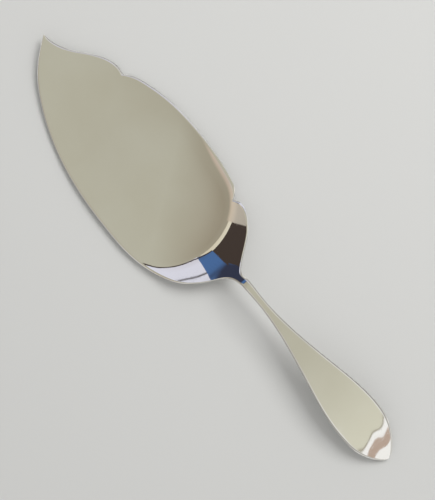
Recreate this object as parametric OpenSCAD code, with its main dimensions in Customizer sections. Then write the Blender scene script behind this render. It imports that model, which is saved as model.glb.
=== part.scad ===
// Fish server: a broad leaf-shaped silver blade with a raised heel, hard soldered to a forged handle.
// The blade points along +X, its notched edge is on the -Y side, and it lies face up on z = 0.

/* [Blade] */
// Length of the blade from the joint in the neck to its point
blade_length = 173; // [160:1:186]
// Width of the blunted point
point_w = 0.6; // [0.4:0.1:1.2]
// Offset of the point from the handle's axis, towards the notched edge
point_offset = 1.8; // [0:0.1:3]

/* [Plain edge] */
// Reach of the plain edge from the axis at its fullest
plain_belly = 39.8; // [35:0.1:44]
// Distance from the joint to that fullest place
plain_belly_x = 65; // [58:1:74]
// Reach of the plain edge at its shoulder, behind the point
plain_shoulder = 22.8; // [20:0.1:25]
// Distance from the point back to that shoulder
plain_shoulder_back = 26; // [22:1:30]
// Reach of the plain edge where the heel rounds in
plain_heel = 30.8; // [28:0.1:33]
// Distance from the joint to that place on the heel
plain_heel_x = 26.8; // [25:0.1:29]
// Reach of the plain edge where it is steepest, beside the neck
plain_flank = 11.2; // [10:0.1:13]
// Distance from the joint to that steepest place
plain_flank_x = 11; // [9.5:0.1:12]

/* [Notched edge] */
// Reach of the notched edge from the axis at its fullest
notched_belly = 33.2; // [30:0.1:37]
// Distance from the joint to that fullest place
notched_belly_x = 81; // [74:1:88]
// Reach of the hollow behind the point, where the edge is steepest
ogee_reach = 11.7; // [9.5:0.1:13]
// Distance from the point back to that steepest place
ogee_back = 19.7; // [17:0.1:22]
// Reach of the bottom of the front notch
front_notch = 21.2; // [19.5:0.1:22.5]
// Distance from the point back to the front notch
front_notch_back = 43; // [39:0.1:46]
// How far the edge swells behind the front notch before it turns along the belly
front_swell = 7.9; // [7:0.1:9.5]
// Length of that swell
front_swell_length = 16; // [13:0.5:19]
// Reach of the bottom of the rear notch
rear_notch = 23.9; // [22.5:0.1:25]
// Distance from the joint to the rear notch
rear_notch_x = 38.4; // [36:0.1:40.5]
// How far the edge swells ahead of the rear notch
rear_swell = 6.2; // [5:0.1:7.5]
// Length of that swell
rear_swell_length = 10; // [8:0.5:12]
// How far the lobe behind the rear notch stands out past the bottom of the notch
lobe_swell = 2; // [1:0.1:2.5]
// Distance from the rear notch back to the top of that lobe
lobe_back = 4.6; // [3.5:0.1:6]
// Reach of the notched edge on the slope of the heel
notched_heel = 20.5; // [18:0.1:22]
// Distance from the joint to that place on the slope
notched_heel_x = 21.8; // [20:0.1:24]
// Reach of the notched edge where it turns into the neck
notched_neck = 2.9; // [2.6:0.1:3.4]
// Distance from the joint to that turn
notched_neck_x = 6.9; // [6:0.1:8]

/* [Heel] */
// Radius of the crease where the heel rises out of the bed
crease_ring_r = 37.8; // [36:0.1:40]
// Distance from the joint to the middle of that crease ring
crease_ring_x = 62.7; // [60:0.1:65]
// Offset of the middle of that crease ring towards the plain edge
crease_ring_y = 5.9; // [4:0.1:8]
// Angle to the axis at which the crease leaves the ring and runs straight out to the plain edge
plain_leave = 38; // [32:0.5:46]
// Angle to the axis at which it leaves the ring and runs straight out to the notched edge
notched_leave = 17.5; // [10:0.5:25]
// How far ahead of the ring the bed begins to curve up
crease_lead = 18.5; // [14:0.5:22]
// How far past the ring the crease ends
crease_reach = 3.5; // [2:0.5:5]
// Angle at which the heel rises out of the crease
heel_angle = 27; // [23:0.5:31]
// Angle to which it steepens at the neck
neck_angle = 31; // [25:0.5:34]
// Radius of the bend from the heel over to the handle
bend_r = 9; // [6:0.5:14]
// Distance from the joint back to the top of that bend
bend_top_back = 3; // [1:0.5:5]

/* [Sheet] */
// Thickness of the blade at its bed
blade_t = 1.6; // [1.5:0.1:2]
// Thickness of the blade at its point
point_t = 1.5; // [1.5:0.1:1.8]
// Width of the bevel round the edges of blade and handle
edge_w = 1.2; // [0.8:0.1:1.6]
// Depth of that bevel
edge_drop = 0.6; // [0.4:0.1:1]
// How far the long edges turn up
dish_rise = 2; // [1:0.25:3]
// How far the point turns up
point_rise = 5; // [3:0.5:7]
// Length of the part that turns up towards the point
point_rise_length = 64; // [55:1:75]
// Depth planished off the underside to make the flat bed
bed_cut = 0.1; // [0.05:0.01:0.2]

/* [Handle] */
// Length of the handle from the joint to its end
handle_length = 125; // [110:1:140]
// Width of the stem at the joint
stem_w = 4.6; // [4.2:0.1:6]
// Thickness of the stem
stem_t = 3.4; // [3:0.1:4]
// Width of the stem at its waist
waist_w = 3.9; // [3.6:0.1:4.6]
// Distance from the joint to the waist
waist_back = 12.5; // [10:0.5:16]
// Width of the handle where it widens fastest
flare_w = 14.8; // [13:0.2:17]
// Distance from the joint to that place
flare_back = 56; // [50:1:62]
// Width of the handle at its fullest
paddle_w = 26.8; // [22:0.2:32]
// Distance from the joint to that fullest place
paddle_back = 96; // [88:1:102]
// Width of the blunted end
end_w = 2.4; // [1.2:0.2:4]
// Offset of the blunted end from the handle's axis, towards the plain edge
end_offset = 1.1; // [0:0.1:2]
// Thickness of the handle at its end
end_t = 2.4; // [2.3:0.1:2.8]
// Angle at which the end turns down
end_angle = 23; // [16:1:28]

/* [Soldered lap] */
// Length of the tongue that laps under the neck
lap_length = 8; // [6:0.5:10]
// Depth of the shoulder filed round the root of the tongue
tongue_inset = 0.2; // [0.1:0.05:0.3]
// Width of the tongue at its tip
tongue_tip_w = 3; // [2.4:0.1:3.6]
// Thickness of the tongue at its tip
tongue_tip_t = 0.4; // [0.3:0.1:0.8]
// Thickness of the tongue along its edges
tongue_edge_t = 0.2; // [0.1:0.05:0.3]
// Thickness of the neck's rim above the lap
neck_rim = 0.5; // [0.3:0.1:0.7]
// Thickness of the solder film
solder_t = 0.1; // [0.05:0.05:0.2]

/* [Hidden] */
silver = [0.83, 0.81, 0.76];
solder_grey = [0.76, 0.73, 0.64];

// Spacing of the cross-sections, fine at both ends of the blade and coarse between
fine_step = 1.2;
coarse_step = 2.8;
fine_zone = 14;
// Counts of strips across the faces of the blade and the handle, between their bevels
blade_strips = 20;
handle_strips = 4;
// Powers of the curves that the bevel, the crease, the turned-up edges and the turned-up point follow:
// at 1 each would be straight
edge_power = 1.6;
crease_power = 3;
dish_power = 3;
upsweep_power = 2;
// Depth of the bevel under the handle, as a share of that on top
under_share = 0.5;
// Slope at which the bend hands over to the handle
handover_angle = 3;
// The middle of the neck is level from side to side up to this distance from the joint, past the lap
level_neck = lap_length + 1;
// Distance from the joint over which the neck's section turns into the flat sheet
neck_length = lap_length + 8;

// Edges of the blade as knots of [distance from the joint, offset from the axis, slope there],
// from the neck to the point. Two knots in one place make a sharp notch.
front_notch_x = blade_length - front_notch_back;
plain_edge = [
    [0, stem_w / 2, 0.4],
    [plain_flank_x, plain_flank, 2.2],
    [plain_heel_x, plain_heel, 0.57],
    [plain_belly_x, plain_belly, 0],
    [blade_length - plain_shoulder_back, plain_shoulder, -0.54],
    [blade_length, point_w / 2 - point_offset, -1.6]
];
notched_edge = [
    [0, -stem_w / 2, 0],
    [notched_neck_x, -notched_neck, -0.95],
    [notched_heel_x, -notched_heel, -0.8],
    [rear_notch_x - lobe_back, -rear_notch - lobe_swell, 0],
    [rear_notch_x, -rear_notch, 0.65],
    [rear_notch_x, -rear_notch, -1.6],
    [rear_notch_x + rear_swell_length, -rear_notch - rear_swell, -0.2],
    [notched_belly_x, -notched_belly, 0],
    [front_notch_x - front_swell_length, -front_notch - front_swell, 0.3],
    [front_notch_x, -front_notch, 0.98],
    [front_notch_x, -front_notch, -0.3],
    [blade_length - ogee_back, -ogee_reach, 0.9],
    [blade_length, -point_w / 2 - point_offset, 0]
];
// Half the width of the handle, in knots of [distance behind the joint, half width, slope]
handle_side = [
    [0, stem_w / 2, 0],
    [waist_back, waist_w / 2, 0],
    [flare_back, flare_w / 2, 0.196],
    [paddle_back, paddle_w / 2, 0],
    [handle_length, end_w / 2, -1.14]
];

function smooth(a, b, x) = let (t = min(1, max(0, (x - a) / (b - a)))) t * t * (3 - 2 * t);
function mix(a, b, t) = a + (b - a) * t;

// Cubic from knot a to knot b
function span(a, b, x) =
    let (h = b[0] - a[0], t = (x - a[0]) / h, s = 1 - t)
    s * s * (1 + 2 * t) * a[1] + t * t * (3 - 2 * t) * b[1] + h * t * s * (s * a[2] - t * b[2]);
function curve(knots, x, i = 0) =
    i == len(knots) - 2 || x <= knots[i + 1][0] ? span(knots[i], knots[i + 1], x)
                                                : curve(knots, x, i + 1);

function sorted(v) =
    len(v) < 2 ? v : let (p = v[0])
    concat(sorted([for (x = v) if (x < p) x]), [p], sorted([for (x = v) if (x > p) x]));
// Sections at every knot, with more between them
function sections(places, length) = [
    for (i = [0 : len(places) - 1])
        if (i == len(places) - 1) places[i]
        else let (
            a = places[i],
            b = places[i + 1],
            near_end = a < fine_zone || b > length - fine_zone,
            n = ceil((b - a) / (near_end ? fine_step : coarse_step))
        ) for (k = [0 : n - 1]) mix(a, b, k / n)
];

// Height of the sheet's underside along the heel, by distance a beyond the crease ring:
// a crease that tightens as it rises, a slope that steepens evenly, and the bend over to the handle
heel_slope = tan(heel_angle);
neck_slope = tan(neck_angle);
crease_length = crease_lead + crease_reach;
crease_rise = heel_slope * crease_length / crease_power;
bend_middle = beyond_crease(-bend_top_back, 0);
ramp_end = bend_middle - bend_r * sin(neck_angle);
ramp_length = ramp_end - crease_reach;
ramp_end_z = crease_rise + ramp_length * (heel_slope + neck_slope) / 2;
bend_middle_z = ramp_end_z - bend_r * cos(neck_angle);
function ramp(a) =
    a <= -crease_lead ? 0 :
    a <= crease_reach ? crease_rise * pow((a + crease_lead) / crease_length, crease_power) :
    a <= ramp_end ?
        let (past = a - crease_reach)
        crease_rise + past * mix(heel_slope, neck_slope, past / ramp_length / 2) :
    bend_middle_z + sqrt(max(0, bend_r * bend_r - pow(a - bend_middle, 2)));
// Height of the underside of the neck on its axis, at distance x ahead of the joint
function neck_z(x) = ramp(beyond_crease(x, 0));

// Distance outwards from the middle of the crease ring. The crease is an arc round the heel that runs
// on straight, at the leaving angle of each side, out to the two edges.
function from_ring_middle(p) =
    let (
        side = p.y < 0 ? -1 : 1,
        leave = p.y < 0 ? notched_leave : plain_leave,
        outwards = [-sin(leave), side * cos(leave)],
        onwards = [cos(leave), side * sin(leave)]
    )
    p * onwards > 0 ? p * outwards : norm(p);
// Distance beyond the crease. In the neck a strip as wide as the stem is levelled from side to side,
// to seat the lap.
function beyond_crease(x, y) =
    let (
        level = stem_w / 2 * smooth(neck_length, level_neck, x),
        aside = sign(y) * max(0, abs(y) - level)
    )
    from_ring_middle([x - crease_ring_x, aside - crease_ring_y]) - crease_ring_r;

// Height of the sheet's underside: the heel, the long edges that turn up ahead of it, and the point
dish_y = (plain_belly - notched_belly) / 2;
dish_half = (plain_belly + notched_belly) / 2;
function dish(x, y) =
    let (fade = smooth(crease_ring_x - crease_ring_r, crease_ring_x, x))
    dish_rise * pow(abs(y - dish_y) / dish_half, dish_power) * fade;
function upsweep(x) =
    let (past = max(0, x - blade_length + point_rise_length))
    point_rise * pow(past / point_rise_length, upsweep_power);
function underside(x, y) = ramp(beyond_crease(x, y)) + dish(x, y) + upsweep(x);

// Width of the bevel on a face of the given half width, and its depth at share v across, from -1 to 1
function bevel_w(half) = min(edge_w, half / 2);
function bevel(v, half) =
    let (w = bevel_w(half), u = max(0, 1 - (1 - abs(v)) * half / w))
    edge_drop * w / edge_w * pow(u, edge_power);
// Thickness of the blade at x and share v across
function thickness(x, v, half) =
    let (
        sheet = mix(blade_t, point_t, smooth(crease_ring_x, blade_length, x)),
        neck = neck_rim + stem_t / 2
    ) mix(neck, sheet, smooth(0, neck_length, x)) - bevel(v, half);
// Shares across a face of so many strips, from -1 to 1, with more points in the bevels
function across(half, strips) =
    let (rim = bevel_w(half) / half, side = [0, rim / 2, rim])
    concat(
        [for (s = side) s - 1],
        [for (k = [1 : strips - 1]) mix(rim - 1, 1 - rim, k / strips)],
        [for (k = [len(side) - 1 : -1 : 0]) 1 - side[k]]
    );

function middle(points) = [for (p = points) 1] * points / len(points);
// Skin of a row of rings that all have the same count of points, closed by a fan at both ends
module loft(rings) {
    n = len(rings[0]);
    last = len(rings) - 1;
    first_hub = len(rings) * n;
    sides = [
        for (i = [0 : last - 1], j = [0 : n - 1])
            let (a = i * n + j, b = i * n + (j + 1) % n)
            each [[a, b, b + n], [a, b + n, a + n]]
    ];
    fans = [
        for (j = [0 : n - 1])
            let (k = (j + 1) % n)
            each [[first_hub, k, j], [first_hub + 1, last * n + j, last * n + k]]
    ];
    polyhedron(
        concat([for (r = rings) each r], [middle(rings[0]), middle(rings[last])]),
        concat(sides, fans),
        convexity = 6
    );
}

// Moves the joint-centred model so that its box stands centred on the origin
module placed() {
    translate([(handle_length - blade_length) / 2, -dish_y, 0]) children();
}

blade_places = sorted(concat([for (k = plain_edge) k[0]], [for (k = notched_edge) k[0]], [lap_length]));
module blade() {
    xs = sections(blade_places, blade_length);
    rings = [
        for (x = xs)
            let (
                low = curve(notched_edge, x),
                high = curve(plain_edge, x),
                half = (high - low) / 2,
                vs = across(half, blade_strips),
                ys = [for (v = vs) (low + high) / 2 + v * half],
                floor = [for (y = ys) underside(x, y) - bed_cut]
            )
            concat(
                [for (j = [0 : len(vs) - 1]) [x, ys[j], floor[j]]],
                [for (j = [len(vs) - 1 : -1 : 0]) [x, ys[j], floor[j] + thickness(x, vs[j], half)]]
            )
    ];
    under = 2 * bed_cut;
    color(silver) placed()
        difference() {
            loft(rings);
            translate([0, -2 * notched_belly, -under])
                cube([2 * blade_length, 2 * (plain_belly + notched_belly), under]);
        }
}

// Height of the handle's middle at distance h behind the joint: over the bend, then down to its end
handover = bend_top_back + bend_r * sin(handover_angle);
joint_middle = neck_rim - bed_cut;
descent = [
    [handover, neck_z(-handover) + joint_middle, -tan(handover_angle)],
    [handle_length, end_t / 2, -tan(end_angle)]
];
function handle_z(h) = h <= handover ? neck_z(-h) + joint_middle : curve(descent, h);
function handle_t(h) = mix(stem_t, end_t, smooth(0, handle_length, h));

// Bevelled bar section as points of [across, up], over the top and back underneath
function bar(half, t) =
    let (vs = across(half, handle_strips))
    concat(
        [for (v = vs) [-v * half, t / 2 - bevel(v, half)]],
        [for (v = vs) [v * half, under_share * bevel(v, half) - t / 2]]
    );
function handle_ring(h) =
    let (y = end_offset * smooth(paddle_back, handle_length, h))
    [for (p = bar(curve(handle_side, h), handle_t(h))) [-h, y + p.x, handle_z(h) + p.y]];

// The tongue is flat on top, one solder film below the neck, and bevelled underneath
tongue_root_w = stem_w - 2 * tongue_inset;
tongue_root_t = stem_t / 2 - neck_rim - solder_t - tongue_inset;
function tongue_top(x) = neck_z(x) - bed_cut - solder_t;
function tongue_ring(x, z) =
    let (
        half = mix(tongue_root_w, tongue_tip_w, x / lap_length) / 2,
        t = mix(tongue_root_t, tongue_tip_t, x / lap_length),
        vs = across(half, handle_strips)
    )
    concat(
        [for (v = vs) [x, -v * half, z]],
        [for (v = vs) [x, v * half, z - max(tongue_edge_t, t - bevel(v, half))]]
    );

handle_places = sorted([solder_t, handover, waist_back, flare_back, paddle_back, handle_length]);
lap_xs = [for (x = sections(blade_places, blade_length)) if (x <= lap_length) x];
module handle() {
    hs = sections(handle_places, handle_length);
    body = [for (k = [len(hs) - 1 : -1 : 0]) handle_ring(hs[k])];
    step = tongue_ring(-solder_t, tongue_top(0));
    tongue = [for (x = lap_xs) tongue_ring(x, tongue_top(x))];
    color(silver) placed() loft(concat(body, [step], tongue));
}

module solder_seam() {
    film = concat(
        [for (x = lap_xs) [x, tongue_top(x) + solder_t]],
        [for (k = [len(lap_xs) - 1 : -1 : 0]) [lap_xs[k], tongue_top(lap_xs[k])]]
    );
    color(solder_grey) placed() union() {
        intersection() {
            translate([0, stem_w / 2, 0]) rotate([90, 0, 0]) linear_extrude(stem_w) polygon(film);
            linear_extrude(neck_z(0) + stem_t)
                polygon([
                    [0, -tongue_root_w / 2],
                    [lap_length, -tongue_tip_w / 2],
                    [lap_length, tongue_tip_w / 2],
                    [0, tongue_root_w / 2]
                ]);
        }
        translate([-solder_t, 0, 0]) rotate([90, 0, 90]) linear_extrude(solder_t)
            intersection() {
                translate([0, handle_z(0)]) polygon(bar(stem_w / 2, stem_t));
                translate([-stem_w, tongue_top(0)]) square([2 * stem_w, stem_t]);
            }
    }
}

blade();
handle();
solder_seam();
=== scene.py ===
import math

import bmesh
import bpy
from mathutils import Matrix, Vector


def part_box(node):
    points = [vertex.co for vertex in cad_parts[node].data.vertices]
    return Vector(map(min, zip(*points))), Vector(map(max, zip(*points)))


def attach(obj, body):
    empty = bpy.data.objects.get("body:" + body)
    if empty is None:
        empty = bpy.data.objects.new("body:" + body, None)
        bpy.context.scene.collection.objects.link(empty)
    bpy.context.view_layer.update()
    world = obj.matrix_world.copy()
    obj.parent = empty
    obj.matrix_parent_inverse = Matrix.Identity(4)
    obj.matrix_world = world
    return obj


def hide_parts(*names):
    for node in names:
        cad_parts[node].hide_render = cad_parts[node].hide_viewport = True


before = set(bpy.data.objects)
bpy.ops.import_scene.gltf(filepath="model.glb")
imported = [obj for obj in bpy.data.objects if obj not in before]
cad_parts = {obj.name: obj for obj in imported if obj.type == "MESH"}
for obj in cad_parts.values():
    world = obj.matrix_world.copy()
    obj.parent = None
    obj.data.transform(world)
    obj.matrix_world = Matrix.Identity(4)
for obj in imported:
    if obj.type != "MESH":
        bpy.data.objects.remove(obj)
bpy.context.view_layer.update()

# Blade: the broad leaf that slides under the fish. It is one sheet of silver, rolled and planished flat,
# with the heel raised in a die and drawn into a short neck. Its edges, with two cusped notches on one
# side, are filed to shape, rounded over and polished.
MM = 0.001
blade_low, blade_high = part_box("blade")
handle_low, handle_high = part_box("handle")
joint_x = blade_low.x
axis_y = (handle_low.y + handle_high.y) / 2
blade_length = (blade_high.x - joint_x) / MM
plain_belly = (blade_high.y - axis_y) / MM
notched_belly = (axis_y - blade_low.y) / MM
handle_length = (joint_x - handle_low.x) / MM
stem_width = 4.6
stem_thickness = 3.4
point_width = 0.6
point_offset = 1.8
rear_notch_x = 38.4
front_notch_x = blade_length - 43.0

# Knots of the two edges: distance from the joint, offset from the axis, slope. A pair makes a cusp.
plain_edge = [
    (0.0, stem_width / 2, 0.4),
    (11.0, 11.2, 2.2),
    (26.8, 30.8, 0.57),
    (65.0, plain_belly, 0.0),
    (blade_length - 26.0, 22.8, -0.54),
    (blade_length, point_width / 2 - point_offset, -1.6),
]
notched_edge = [
    (0.0, -stem_width / 2, 0.0),
    (6.9, -2.9, -0.95),
    (21.8, -20.5, -0.8),
    (rear_notch_x - 4.6, -25.9, 0.0),
    (rear_notch_x, -23.9, 0.65),
    (rear_notch_x, -23.9, -1.6),
    (rear_notch_x + 10.0, -30.1, -0.2),
    (81.0, -notched_belly, 0.0),
    (front_notch_x - 16.0, -29.1, 0.3),
    (front_notch_x, -21.2, 0.98),
    (front_notch_x, -21.2, -0.3),
    (blade_length - 19.7, -11.7, 0.9),
    (blade_length, -point_width / 2 - point_offset, 0.0),
]

crease_ring_radius = 37.8
crease_ring_x = 62.7
crease_ring_y = 5.9
plain_leave = math.radians(38.0)
notched_leave = math.radians(17.5)
crease_lead = 18.5
crease_reach = 3.5
crease_power = 3.0
heel_angle = math.radians(27.0)
neck_angle = math.radians(31.0)
bend_radius = 9.0
bend_top_back = 3.0
lap_length = 8.0
level_neck = lap_length + 1.0
level_start = lap_length + 6.0
neck_length = lap_length + 8.0
sheet_thickness = 1.6
point_thickness = 1.5
edge_width = 1.2
edge_drop = 0.6
edge_power = 1.6
under_round = 0.25
neck_rim = 0.5
dish_rise = 2.0
dish_power = 3
point_rise = 5.0
point_rise_length = 64.0
point_rise_power = 2
bed_cut = 0.1


def mix(a, b, t):
    """The value at share t of the way from a to b."""
    return a + (b - a) * t


def part_way(a, b, x):
    """How far x is from a to b, from 0 to 1."""
    return min(1.0, max(0.0, (x - a) / (b - a)))


def smooth(a, b, x):
    """A soft step from 0 at a to 1 at b."""
    t = part_way(a, b, x)
    return t * t * (3.0 - 2.0 * t)


def curve(knots, x):
    """Height at x of the smooth curve through the knots."""
    for (x0, y0, m0), (x1, y1, m1) in zip(knots, knots[1:]):
        if x1 > x0 and x <= x1 + 1e-9:
            break
    h = x1 - x0
    t = (x - x0) / h
    s = 1.0 - t
    return s * s * (1 + 2 * t) * y0 + t * t * (3 - 2 * t) * y1 + h * t * s * (s * m0 - t * m1)


def placed(x, y, z):
    """A place in the part's frame from millimetres ahead of the joint, beside the axis and up."""
    return Vector((joint_x + x * MM, axis_y + y * MM, z * MM))


def beyond_crease(x, y):
    """Distance beyond the crease, an arc round the heel that runs on straight to both edges."""
    level = stem_width / 2 * smooth(level_start, level_neck, x)
    ahead = x - crease_ring_x
    aside = math.copysign(math.hypot(y, level) - level, y) - crease_ring_y
    leave = notched_leave if aside < 0 else plain_leave
    ring = math.hypot(ahead, aside)
    if ahead * math.cos(leave) + abs(aside) * math.sin(leave) > 0:
        ring = abs(aside) * math.cos(leave) - ahead * math.sin(leave)
    return ring - crease_ring_radius


heel_slope = math.tan(heel_angle)
neck_slope = math.tan(neck_angle)
crease_length = crease_lead + crease_reach
crease_rise = heel_slope * crease_length / crease_power
bend_middle = beyond_crease(-bend_top_back, 0.0)
ramp_end = bend_middle - bend_radius * math.sin(neck_angle)
ramp_length = ramp_end - crease_reach
ramp_end_z = crease_rise + ramp_length * (heel_slope + neck_slope) / 2
bend_middle_z = ramp_end_z - bend_radius * math.cos(neck_angle)


def ramp(a):
    """Rise of the heel at distance a beyond the crease: it tightens, steepens, then bends to the handle."""
    if a <= -crease_lead:
        return 0.0
    if a <= crease_reach:
        return crease_rise * ((a + crease_lead) / crease_length) ** crease_power
    if a <= ramp_end:
        past = a - crease_reach
        return crease_rise + past * mix(heel_slope, neck_slope, past / ramp_length / 2)
    return bend_middle_z + math.sqrt(max(0.0, bend_radius**2 - (a - bend_middle) ** 2))


dish_y = (plain_belly - notched_belly) / 2
dish_half = (plain_belly + notched_belly) / 2


def underside(x, y):
    """Height of the sheet's lower face: the heel, the turned-up edges and the turned-up point."""
    heel = ramp(beyond_crease(x, y))
    fade = smooth(crease_ring_x - crease_ring_radius, crease_ring_x, x)
    dish = dish_rise * (abs(y - dish_y) / dish_half) ** dish_power * fade
    upsweep = point_rise * part_way(blade_length - point_rise_length, blade_length, x) ** point_rise_power
    return heel + dish + upsweep - bed_cut


def bevel(share, half):
    """Depth of the bevel at a share across a face, from -1 to 1, where half is its half width."""
    width = min(edge_width, half / 2)
    inside = max(0.0, 1 - (1 - abs(share)) * half / width)
    return edge_drop * width / edge_width * inside**edge_power


def blade_point(x, share, upper):
    """A point of the blade's skin, share across from the notched edge at -1 to the plain edge at 1."""
    low = curve(notched_edge, x)
    high = curve(plain_edge, x)
    half = (high - low) / 2
    y = (low + high) / 2 + share * half
    lower = underside(x, y)
    into_blade = smooth(0.0, neck_length, x)
    if not upper:
        lift = under_round * bevel(share, half) / edge_drop * into_blade
        return placed(x, y, max(0.0, lower + lift))
    sheet = mix(sheet_thickness, point_thickness, smooth(crease_ring_x, blade_length, x))
    neck = neck_rim + stem_thickness / 2
    return placed(x, y, lower + mix(neck, sheet, into_blade) - bevel(share, half))


# Rows of the skin: closer in the neck, round the notches and at the point.
blade_rows = [
    (0.0, 14.0, 34),
    (14.0, rear_notch_x, 56),
    (rear_notch_x, front_notch_x, 150),
    (front_notch_x, blade_length - 12.0, 52),
    (blade_length - 12.0, blade_length, 34),
]
stations = [mix(a, b, k / n) for a, b, n in blade_rows for k in range(n)] + [blade_length]
bevel_steps = 7
support = 1.1
blade_strips = 88
sharp_angle = math.radians(50.0)


def across(half, strips):
    """Shares across a face, crowded into the bevels, with a strip beside each that keeps the face flat."""
    rim = min(edge_width, half / 2) / half
    side = [rim * (1 - (k / bevel_steps) ** 2) - 1 for k in range(bevel_steps, -1, -1)]
    inner = 1 - support * rim
    face = [mix(-inner, inner, k / strips) for k in range(strips + 1)]
    return side + face + [-share for share in reversed(side)]


def skin(name, rows, columns, point):
    """A closed skin: a grid for the upper face and one for the lower, with each vertex placed by point."""
    bm = bmesh.new()
    bmesh.ops.create_grid(bm, x_segments=rows, y_segments=columns, size=1.0)
    raised = bmesh.ops.extrude_face_region(bm, geom=bm.faces[:], use_keep_orig=True)
    upper = [g for g in raised["geom"] if isinstance(g, bmesh.types.BMVert)]
    bmesh.ops.translate(bm, verts=upper, vec=(0, 0, 1))
    for vert in bm.verts:
        row = round((vert.co.x + 1) / 2 * rows)
        column = round((vert.co.y + 1) / 2 * columns)
        vert.co = point(row, column, vert.co.z > 0.5)
    bmesh.ops.recalc_face_normals(bm, faces=bm.faces)
    mesh = bpy.data.meshes.new(name)
    bm.to_mesh(mesh)
    bm.free()
    mesh.shade_smooth()
    mesh.set_sharp_from_angle(angle=sharp_angle)
    piece = bpy.data.objects.new(name, mesh)
    bpy.context.collection.objects.link(piece)
    return piece


blade_shares = [across((curve(plain_edge, x) - curve(notched_edge, x)) / 2, blade_strips) for x in stations]
blade = skin(
    "silver_blade",
    len(stations) - 1,
    len(blade_shares[0]) - 1,
    lambda row, column, upper: blade_point(stations[row], blade_shares[row][column], upper),
)

dull_silver = (0.90, 0.88, 0.83, 1)
bright_silver = (0.94, 0.93, 0.90, 1)
scratch_turns = (0.25, 1.15, 2.2)
scratch_stretch = (18, 1400, 1400)
scratch_depth = 0.01 * MM
blade_wave = 0.15 * MM


def polished_silver(name, waviness):
    """Mirror-polished silver: a slow wave in the polish, hairline scratches and a trace of tarnish."""
    material = bpy.data.materials.new(name)
    material.use_nodes = True
    nodes = material.node_tree.nodes
    links = material.node_tree.links
    shader = nodes["Principled BSDF"]
    shader.inputs["Metallic"].default_value = 1.0
    place = nodes.new("ShaderNodeTexCoord")

    tarnish = nodes.new("ShaderNodeTexNoise")
    tarnish.inputs["Scale"].default_value = 22.0
    tarnish.inputs["Detail"].default_value = 4.0
    tint = nodes.new("ShaderNodeValToRGB")
    tint.color_ramp.elements[0].position = 0.35
    tint.color_ramp.elements[0].color = dull_silver
    tint.color_ramp.elements[1].position = 0.70
    tint.color_ramp.elements[1].color = bright_silver
    links.new(place.outputs["Object"], tarnish.inputs["Vector"])
    links.new(tarnish.outputs["Fac"], tint.inputs["Fac"])
    links.new(tint.outputs["Color"], shader.inputs["Base Color"])

    scratches = None
    for turn in scratch_turns:
        turned = nodes.new("ShaderNodeMapping")
        turned.inputs["Rotation"].default_value = (0, 0, turn)
        stretched = nodes.new("ShaderNodeMapping")
        stretched.inputs["Scale"].default_value = scratch_stretch
        hair = nodes.new("ShaderNodeTexNoise")
        hair.inputs["Scale"].default_value = 1.0
        hair.inputs["Detail"].default_value = 2.0
        line = nodes.new("ShaderNodeMapRange")
        line.inputs["From Min"].default_value = 0.68
        line.inputs["From Max"].default_value = 0.78
        links.new(place.outputs["Object"], turned.inputs["Vector"])
        links.new(turned.outputs["Vector"], stretched.inputs["Vector"])
        links.new(stretched.outputs["Vector"], hair.inputs["Vector"])
        links.new(hair.outputs["Fac"], line.inputs["Value"])
        if scratches is None:
            scratches = line.outputs["Result"]
        else:
            both = nodes.new("ShaderNodeMath")
            both.operation = "MAXIMUM"
            links.new(scratches, both.inputs[0])
            links.new(line.outputs["Result"], both.inputs[1])
            scratches = both.outputs["Value"]

    polish = nodes.new("ShaderNodeMapRange")
    polish.inputs["From Min"].default_value = 0.3
    polish.inputs["From Max"].default_value = 0.7
    polish.inputs["To Min"].default_value = 0.020
    polish.inputs["To Max"].default_value = 0.045
    links.new(tarnish.outputs["Fac"], polish.inputs["Value"])
    dulled = nodes.new("ShaderNodeMath")
    dulled.operation = "MULTIPLY_ADD"
    dulled.inputs[1].default_value = 0.06
    links.new(scratches, dulled.inputs[0])
    links.new(polish.outputs["Result"], dulled.inputs[2])
    links.new(dulled.outputs["Value"], shader.inputs["Roughness"])

    wander = nodes.new("ShaderNodeTexNoise")
    wander.inputs["Scale"].default_value = 50.0
    wander.inputs["Detail"].default_value = 1.0
    ripple = nodes.new("ShaderNodeBump")
    ripple.inputs["Strength"].default_value = 0.25
    ripple.inputs["Distance"].default_value = waviness
    links.new(place.outputs["Object"], wander.inputs["Vector"])
    links.new(wander.outputs["Fac"], ripple.inputs["Height"])
    scored = nodes.new("ShaderNodeBump")
    scored.invert = True
    scored.inputs["Strength"].default_value = 0.15
    scored.inputs["Distance"].default_value = scratch_depth
    links.new(scratches, scored.inputs["Height"])
    links.new(ripple.outputs["Normal"], scored.inputs["Normal"])
    links.new(scored.outputs["Normal"], shader.inputs["Normal"])
    return material


# Painted shade: a dim reflection is painted into the bed's colour, in the corner before the heel and the rear
# notch.
painted_shade_towards = Vector((-0.8, -0.6, 0.0))
painted_shade_start = painted_shade_towards.dot(placed(crease_ring_x, crease_ring_y, 0.0))
painted_shade_length = 30.0 * MM
# The colour of the painted shade, a darker reflection, by which the silver is multiplied.
painted_shade_tone = (0.79, 0.74, 0.70, 1)
heel_foot = 2.6 * MM
heel_clear = 4.5 * MM
factor_in, first_in, last_in, colour_out = 0, 6, 7, 2  # sockets of a Mix node for colours
rolled_silver = polished_silver("rolled_silver", blade_wave)
nodes = rolled_silver.node_tree.nodes
links = rolled_silver.node_tree.links
base_colour = nodes["Principled BSDF"].inputs["Base Color"]
place = nodes.new("ShaderNodeTexCoord")
inwards = nodes.new("ShaderNodeVectorMath")
inwards.operation = "DOT_PRODUCT"
inwards.inputs[1].default_value = painted_shade_towards
painted_shade_ramp = nodes.new("ShaderNodeMapRange")
painted_shade_ramp.inputs["From Min"].default_value = painted_shade_start
painted_shade_ramp.inputs["From Max"].default_value = painted_shade_start + painted_shade_length
height = nodes.new("ShaderNodeSeparateXYZ")
bed = nodes.new("ShaderNodeMapRange")
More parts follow.
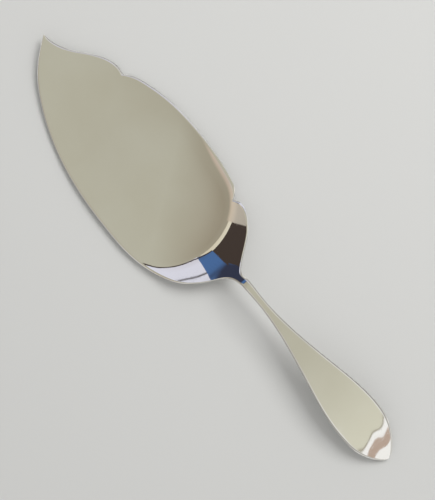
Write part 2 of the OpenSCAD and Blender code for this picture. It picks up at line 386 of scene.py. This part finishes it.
bed.inputs["From Min"].default_value = heel_clear
bed.inputs["From Max"].default_value = heel_foot
painted_shade_mask = nodes.new("ShaderNodeMath")
painted_shade_mask.operation = "MULTIPLY"
# Painted shade: the silver's colour darkens towards the corner by the crease, on the bed only, not on the
# raised heel.
painted_shade_mix = nodes.new("ShaderNodeMix")
painted_shade_mix.data_type = "RGBA"
painted_shade_mix.blend_type = "MULTIPLY"
painted_shade_mix.inputs[last_in].default_value = painted_shade_tone
links.new(place.outputs["Object"], inwards.inputs[0])
links.new(place.outputs["Object"], height.inputs["Vector"])
links.new(inwards.outputs["Value"], painted_shade_ramp.inputs["Value"])
links.new(height.outputs["Z"], bed.inputs["Value"])
links.new(painted_shade_ramp.outputs["Result"], painted_shade_mask.inputs[0])
links.new(bed.outputs["Result"], painted_shade_mask.inputs[1])
links.new(painted_shade_mask.outputs["Value"], painted_shade_mix.inputs[factor_in])
links.new(base_colour.links[0].from_socket, painted_shade_mix.inputs[first_in])
links.new(painted_shade_mix.outputs[colour_out], base_colour)
blade.data.materials.append(rolled_silver)
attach(blade, "root")
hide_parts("blade")

# Handle: forged silver, a square stem that widens to a flat paddle with a pointed, turned-down end.
# Its front end is filed back to a tongue that laps under the neck of the blade and is hard soldered there.
waist_width = 3.9
waist_back = 12.5
flare_width = 14.8
flare_back = 56.0
paddle_back = 96.0
paddle_width = (handle_high.y - handle_low.y) / MM
end_width = 2.4
end_offset = 1.1
end_thickness = 2.4
end_angle = math.radians(23.0)
tip_short = 0.6
tip_back = handle_length - tip_short
tip_round = 1.4
tip_cut = 0.97
handover_angle = math.radians(3.0)
solder_thickness = 0.1
under_share = 0.5
tongue_inset = 0.2
tongue_tip_width = 3.0
tongue_tip_thickness = 0.4
tongue_edge = 0.2
handle_wave = 0.9 * MM
handle_side = [
    (0.0, stem_width / 2, 0.0),
    (waist_back, waist_width / 2, 0.0),
    (flare_back, flare_width / 2, 0.196),
    (paddle_back, paddle_width / 2, 0.0),
    (handle_length, end_width / 2, -1.14),
]
handover = bend_top_back + bend_radius * math.sin(handover_angle)
joint_middle = neck_rim - bed_cut
descent = [
    (handover, ramp(beyond_crease(-handover, 0.0)) + joint_middle, -math.tan(handover_angle)),
    (handle_length, end_thickness / 2, -math.tan(end_angle)),
]
tongue_root_width = stem_width - 2 * tongue_inset
tongue_root_thickness = stem_thickness / 2 - neck_rim - solder_thickness - tongue_inset


def handle_half(back):
    """Half the handle's width at a distance behind the joint, with its tip filed round."""
    into_tip = max(0.0, 1.0 - (tip_back - back) / tip_round)
    return curve(handle_side, back) * math.sqrt(1.0 - tip_cut * into_tip**2)


def handle_point(back, share, upper):
    """A point of the handle's skin at a distance behind the joint and a share across its bevelled section."""
    half = handle_half(back)
    middle = curve(descent, back)
    if back <= handover:
        middle = ramp(beyond_crease(-back, 0.0)) + joint_middle
    thick = mix(stem_thickness, end_thickness, smooth(0.0, handle_length, back))
    y = end_offset * smooth(paddle_back, handle_length, back) + half * share
    if upper:
        return placed(-back, y, middle + thick / 2 - bevel(share, half))
    return placed(-back, y, middle - thick / 2 + under_share * bevel(share, half))


def tongue_half(x):
    """Half the tongue's width at a distance ahead of the joint."""
    return mix(tongue_root_width, tongue_tip_width, x / lap_length) / 2


def tongue_point(x, share, upper):
    """A point of the tongue's skin: flat on top, one solder film below the neck, and bevelled underneath."""
    half = tongue_half(x)
    thick = mix(tongue_root_thickness, tongue_tip_thickness, x / lap_length)
    top = ramp(beyond_crease(max(0.0, x), 0.0)) - bed_cut - solder_thickness
    depth = 0.0 if upper else max(tongue_edge, thick - bevel(share, half))
    return placed(x, half * share, top - depth)


handle_rows = 230
tongue_rows = 16
handle_strips = 24
tip_rows = 10
backs = [tip_back - tip_round * (k / tip_rows) ** 2 for k in range(tip_rows)]
backs += [mix(tip_back - tip_round, solder_thickness, k / handle_rows) for k in range(handle_rows + 1)]
laps = [-solder_thickness] + [lap_length * k / tongue_rows for k in range(tongue_rows + 1)]
handle_halves = [handle_half(back) for back in backs] + [tongue_half(x) for x in laps]
handle_shares = [across(half, handle_strips) for half in handle_halves]


def handle_skin(row, column, upper):
    """A point of the skin of the handle and its tongue, by row and column."""
    share = handle_shares[row][column]
    if row < len(backs):
        return handle_point(backs[row], share, upper)
    return tongue_point(laps[row - len(backs)], share, upper)


handle = skin("silver_handle", len(handle_shares) - 1, len(handle_shares[0]) - 1, handle_skin)
handle.data.materials.append(polished_silver("forged_silver", handle_wave))
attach(handle, "root")
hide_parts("handle")

# Solder seam: the film of hard silver solder that was run into the lap between the neck and the tongue.
# It shows as a fine line across the stem, a little yellower and duller than the silver beside it.
dull_solder = (0.48, 0.43, 0.33, 1)
bright_solder = (0.70, 0.65, 0.54, 1)
solder = bpy.data.materials.new("silver_solder")
solder.use_nodes = True
nodes = solder.node_tree.nodes
shader = nodes["Principled BSDF"]
shader.inputs["Metallic"].default_value = 1.0
place = nodes.new("ShaderNodeTexCoord")
grain = nodes.new("ShaderNodeTexNoise")
grain.inputs["Scale"].default_value = 900.0
tone = nodes.new("ShaderNodeValToRGB")
tone.color_ramp.elements[0].color = dull_solder
tone.color_ramp.elements[1].color = bright_solder
dull = nodes.new("ShaderNodeMapRange")
dull.inputs["To Min"].default_value = 0.18
dull.inputs["To Max"].default_value = 0.40
links = solder.node_tree.links
links.new(place.outputs["Object"], grain.inputs["Vector"])
links.new(grain.outputs["Fac"], tone.inputs["Fac"])
links.new(grain.outputs["Fac"], dull.inputs["Value"])
links.new(tone.outputs["Color"], shader.inputs["Base Color"])
links.new(dull.outputs["Result"], shader.inputs["Roughness"])
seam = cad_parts["solder_seam"]
seam.data.materials.clear()
seam.data.materials.append(solder)

# Floor: a plain pale surface, wide enough to fill the picture from any side. It lies a hair below the
# server, so that the flat bed never shares its plane.
floor_size = 24.0
floor_gap = 0.1 * MM
floor_tone = (0.55, 0.55, 0.535, 1)
bm = bmesh.new()
bmesh.ops.create_grid(bm, x_segments=1, y_segments=1, size=floor_size / 2)
mesh = bpy.data.meshes.new("floor")
bm.to_mesh(mesh)
bm.free()
floor = bpy.data.objects.new("floor", mesh)
floor.location.z = -floor_gap
bpy.context.collection.objects.link(floor)
pale = bpy.data.materials.new("pale_floor")
pale.use_nodes = True
shader = pale.node_tree.nodes["Principled BSDF"]
shader.inputs["Base Color"].default_value = floor_tone
shader.inputs["Roughness"].default_value = 0.8
mesh.materials.append(pale)

# Reflected room: plain glowing cards on a wide dome that only the polished metal sees. A warm grey ceiling
# lies over the blade, a window, a blue and a dark card and a pale wall stand past the point, white walls
# stand at the sides, and a band runs round the horizon, grey at its top and pale at its foot.
dome_radius = 5.0
dome_steps = 24
glow = bpy.data.materials.new("card_glow")
glow.use_nodes = True
glow.node_tree.nodes.clear()
emission = glow.node_tree.nodes.new("ShaderNodeEmission")
own_colour = glow.node_tree.nodes.new("ShaderNodeAttribute")
own_colour.attribute_name = "glow"
output = glow.node_tree.nodes.new("ShaderNodeOutputMaterial")
glow.node_tree.links.new(own_colour.outputs["Color"], emission.inputs["Color"])
glow.node_tree.links.new(emission.outputs["Emission"], output.inputs["Surface"])


def blend(first, last, t):
    """The colour at share t of the way from one colour to another."""
    return [mix(a, b, t) for a, b in zip(first, last)]


def card(name, azimuths, zeniths, tone, drop=0.0, nearer=0.0):
    """A glowing piece of the dome, between two azimuths from +X and two angles from straight above.

    Its tone is a colour, or a function that gives one for a direction. It hangs drop degrees lower at its
    last azimuth, and nearer by that many metres than the dome, so that it covers what is behind it.
    """
    bm = bmesh.new()
    bmesh.ops.create_grid(bm, x_segments=dome_steps, y_segments=dome_steps, size=1.0)
    colour_of = bm.verts.layers.float_color.new("glow")
    for vert in bm.verts:
        across_it = (vert.co.x + 1) / 2
        azimuth = math.radians(mix(*azimuths, across_it))
        zenith = math.radians(mix(*zeniths, (vert.co.y + 1) / 2) + drop * across_it)
        level = math.sin(zenith)
        towards = Vector((level * math.cos(azimuth), level * math.sin(azimuth), math.cos(zenith)))
        vert.co = (dome_radius - nearer) * towards
        vert[colour_of] = (*(tone(towards) if callable(tone) else tone), 1)
    mesh = bpy.data.meshes.new(name)
    bm.to_mesh(mesh)
    bm.free()
    mesh.materials.append(glow)
    panel = bpy.data.objects.new(name, mesh)
    bpy.context.collection.objects.link(panel)
    panel.visible_camera = False
    panel.visible_diffuse = False
    panel.visible_shadow = False


warm_grey = (0.49, 0.48, 0.40)
dim_grey = (0.33, 0.30, 0.23)
cream = (0.68, 0.67, 0.56)
end_brown = (0.50, 0.39, 0.33)
cornice_cream = (0.76, 0.72, 0.59)
pale_wall = (0.64, 0.56, 0.46)
dim_wall = (0.55, 0.465, 0.39)
dark_brown = (0.057, 0.043, 0.037)
blue = (0.072, 0.155, 0.36)
navy = (0.036, 0.042, 0.075)
dark_grey = (0.08, 0.075, 0.08)
lavender_white = (0.72, 0.73, 0.85)
soft_grey = (0.62, 0.62, 0.61)
band_grey = (0.30, 0.29, 0.27)
band_white = (0.86, 0.86, 0.85)
dim_side = Vector((0.6, 0.8, 0.0))
dim_reach = 0.8
light_start = 0.12
light_full = 0.75

# Edges of the cards in degrees, as azimuths and as angles from straight above.
window_blue = -7.0
blue_dark = 5.3
dark_wall = 31.0
plain_end = 177.0
notched_end = 183.0
wall_top = 33.0
band_top = 66.0
band_foot = 89.0

# Where a tone begins and ends to change: a turn is an azimuth, a depth an angle from straight above.
dim_turn = (45, 75)
grey_turn = (52, 62)
grey_depth = (41, 45)
white_turn = (80, 110)
soft_top = (wall_top, wall_top + 5)
neutral_turn = (-62, -80)
navy_depth = (55, 60)
wall_fade = 40
side_fade = 46
window_fade = 57


def azimuth_of(towards):
    """Degrees round from +X of a direction."""
    return math.degrees(math.atan2(towards.y, towards.x))


def zenith_of(towards):
    """Degrees from straight above of a direction."""
    return math.degrees(math.acos(towards.z))


def faded(colour, towards, start):
    """A colour that fades to the grey of the horizon, from the start angle down."""
    return blend(colour, band_grey, part_way(start, band_top, zenith_of(towards)))


def ceiling_tone(towards):
    """The ceiling's glow: cream behind the handle, dim past the plain edge."""
    overhead = blend(warm_grey, cream, part_way(light_start, light_full, -towards.x))
    return blend(overhead, dim_grey, part_way(0.0, dim_reach, towards.dot(dim_side)))


def blue_tone(towards):
    """The blue card's glow: clear blue, and navy at its foot."""
    return blend(blue, navy, part_way(*navy_depth, zenith_of(towards)))


def wall_tone(towards):
    """The wall's glow: pale beside the dark card, grey and then white further round, with a soft top."""
    azimuth = azimuth_of(towards)
    zenith = zenith_of(towards)
    aside = part_way(*white_turn, azimuth)
    wall = blend(pale_wall, dim_wall, part_way(*dim_turn, azimuth))
    wall = blend(wall, soft_grey, part_way(*grey_turn, azimuth) * part_way(*grey_depth, zenith))
    wall = faded(blend(wall, band_white, aside), towards, mix(wall_fade, side_fade, aside))
    return blend(ceiling_tone(towards), wall, part_way(*soft_top, zenith))


def window_tone(towards):
    """The window's glow: lavender past the point, and a neutral grey beside the blade."""
    beside = part_way(*neutral_turn, azimuth_of(towards))
    return faded(blend(lavender_white, soft_grey, beside), towards, window_fade)


def side_tone(towards):
    """The glow of the wall past the notched edge: white, and grey at its foot."""
    return faded(band_white, towards, side_fade)


def band_tone(towards):
    """The horizon's glow: grey at its top, nearly white at its foot."""
    return blend(band_grey, band_white, part_way(band_top, band_foot, zenith_of(towards)) ** 2)


card("ceiling", (0, 360), (0, 40), ceiling_tone)
card("ceiling_end", (plain_end, notched_end), (38, 49.4), ceiling_tone, drop=-10.0, nearer=0.1)
card("end_line", (plain_end, notched_end), (49.4, 50.2), dim_grey, drop=-10.0, nearer=0.1)
card("end_band", (plain_end, 181.1), (53.1, 57.6), end_brown, drop=-6.8)
card("cornice", (-4, dark_wall), (34, 44), cornice_cream, drop=4.3, nearer=0.1)
card("wall", (dark_wall, plain_end), (wall_top, band_top), wall_tone, nearer=0.1)
card("notched_side", (notched_end, 265), (36, band_top), side_tone, nearer=0.1)
card("window", (-95, window_blue), (wall_top, band_top), window_tone, nearer=0.1)
card("window_rail", (-65, -10), (31.2, 33.4), dark_brown, drop=2.2, nearer=0.25)
card("rail_end", (-10, blue_dark), (33.6, 35.8), dark_brown, drop=7.0, nearer=0.25)
card("window_sill", (-29, -6), (53.85, 54.15), dark_grey, drop=1.27, nearer=0.15)
card("blue_card", (window_blue, blue_dark), (34, band_top), blue_tone, drop=7.0, nearer=0.2)
card("dark_card", (blue_dark, dark_wall), (42.6, band_top), dark_brown, drop=2.9, nearer=0.25)
card("horizon", (0, 360), (band_top, band_foot), band_tone, nearer=0.3)

# Light: one broad soft lamp above the notched side, as in a studio, which the metal doesn't mirror, and an
# even pale surround, which it does.
lamp_place = Vector((0.1, -0.9, 1.1))
lamp_size = 0.8
lamp_power = 14.0
surround_tone = (0.93, 0.93, 0.93, 1)
surround_light = 0.70
surround_seen = 1.0
lamp_data = bpy.data.lights.new("soft_lamp", "AREA")
lamp_data.shape = "SQUARE"
lamp_data.size = lamp_size
lamp_data.energy = lamp_power
lamp = bpy.data.objects.new("soft_lamp", lamp_data)
bpy.context.collection.objects.link(lamp)
lamp.location = lamp_place
lamp.rotation_euler = (-lamp_place).to_track_quat("-Z", "Y").to_euler()
lamp.visible_glossy = False
world = bpy.data.worlds.new("pale_surround")
world.use_nodes = True
nodes = world.node_tree.nodes
links = world.node_tree.links
surround = nodes["Background"]
surround.inputs["Color"].default_value = surround_tone
ray = nodes.new("ShaderNodeLightPath")
seen = nodes.new("ShaderNodeMath")
seen.operation = "MAXIMUM"
mirrored = nodes.new("ShaderNodeMath")
mirrored.operation = "MAXIMUM"
level = nodes.new("ShaderNodeMapRange")
level.inputs["To Min"].default_value = surround_light
level.inputs["To Max"].default_value = surround_seen
links.new(ray.outputs["Is Camera Ray"], seen.inputs[0])
links.new(ray.outputs["Is Glossy Ray"], seen.inputs[1])
links.new(seen.outputs["Value"], mirrored.inputs[0])
links.new(ray.outputs["Is Transmission Ray"], mirrored.inputs[1])
links.new(mirrored.outputs["Value"], level.inputs["Value"])
links.new(level.outputs["Result"], surround.inputs["Strength"])
bpy.context.scene.world = world

# Camera: straight above, turned so that the point of the blade is at the upper left. It fits the height
# of the picture, in pixels, at a scale taken at the height of the blade.
photo_height = 500
photo_scale = 0.545 * MM
photo_turn = math.radians(-129.68)
photo_middle = (-1.1 * MM, -3.1 * MM)
blade_height = 4.0 * MM
camera_height = 0.65
camera_data = bpy.data.cameras.new("camera")
camera_data.sensor_fit = "VERTICAL"
camera_data.angle = 2 * math.atan(photo_height * photo_scale / 2 / camera_height)
camera = bpy.data.objects.new("camera", camera_data)
bpy.context.collection.objects.link(camera)
camera.location = (*photo_middle, camera_height + blade_height)
camera.rotation_euler = (0, 0, photo_turn)
bpy.context.scene.camera = camera
bpy.context.scene.view_settings.view_transform = "Standard"
